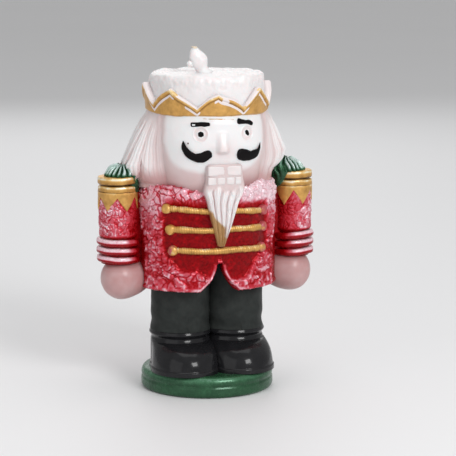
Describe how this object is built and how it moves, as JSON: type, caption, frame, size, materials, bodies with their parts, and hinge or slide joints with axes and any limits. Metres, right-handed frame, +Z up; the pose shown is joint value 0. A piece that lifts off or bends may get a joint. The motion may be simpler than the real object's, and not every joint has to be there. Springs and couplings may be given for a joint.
{
  "type": "nutcracker figure candle",
  "caption": "Cast wax candle in the form of a toy soldier nutcracker with crown, moustache, frogged coat and a bent wick.",
  "frame": {"origin": "middle of the flat underside of the base", "axes": "+Z up; the face looks along -Y; the figure's right hand is on the -X side"},
  "size_m": [0.064, 0.0401, 0.0974],
  "materials": {
    "bare_wax": "translucent candle wax, pinkish white, satin",
    "white_wax": "candle wax rubbed with white, satin",
    "white_paint": "opaque white paint on wax, satin",
    "wick_cotton": "waxed cotton braid",
    "gold_paint": "gold paint on wax, worn on the high spots",
    "black_paint": "black paint on wax",
    "pearl_red": "pearly red paint on wax, pale pink on the high spots",
    "pearl_cuff": "pale pink pearl over red",
    "pearl_green": "pearly dark green paint on wax",
    "dark_trousers": "near-black paint on wax",
    "boot_black": "glossy black paint on wax"
  },
  "bodies": {
    "root": {"wick": "wick_cotton", "wick_wax": "bare_wax", "crown_wax": "bare_wax", "crown_band": "gold_paint", "crown_edge": "gold_paint", "head": "bare_wax", "face": "white_paint", "right_hair": "white_wax", "left_hair": "white_wax", "back_hair": "white_wax", "nose": "white_paint", "right_eyebrow": "black_paint", "left_eyebrow": "black_paint", "right_eye_ring": "white_paint", "left_eye_ring": "white_paint", "right_pupil": "black_paint", "left_pupil": "black_paint", "right_moustache": "black_paint", "left_moustache": "black_paint", "upper_teeth": "white_wax", "lower_teeth": "white_wax", "beard": "white_wax", "beard_gold": "gold_paint", "coat": "pearl_red", "coat_panel": "pearl_red", "upper_frog": "gold_paint", "middle_frog": "gold_paint", "lower_frog": "gold_paint", "right_upper_button": "gold_paint", "left_upper_button": "gold_paint", "right_middle_button": "gold_paint", "left_middle_button": "gold_paint", "right_lower_button": "gold_paint", "left_lower_button": "gold_paint", "right_sleeve": "pearl_red", "left_sleeve": "pearl_red", "right_epaulette": "pearl_green", "left_epaulette": "pearl_green", "right_upper_ring": "gold_paint", "left_upper_ring": "gold_paint", "right_lower_ring": "gold_paint", "left_lower_ring": "gold_paint", "right_gold_band": "gold_paint", "left_gold_band": "gold_paint", "right_cuff_upper": "pearl_cuff", "right_cuff_middle": "pearl_cuff", "right_cuff_lower": "pearl_cuff", "left_cuff_upper": "pearl_cuff", "left_cuff_middle": "pearl_cuff", "left_cuff_lower": "pearl_cuff", "right_hand": "bare_wax", "left_hand": "bare_wax", "right_trouser": "dark_trousers", "left_trouser": "dark_trousers", "right_boot": "boot_black", "left_boot": "boot_black", "base": "pearl_green"}
  },
  "joints": []
}
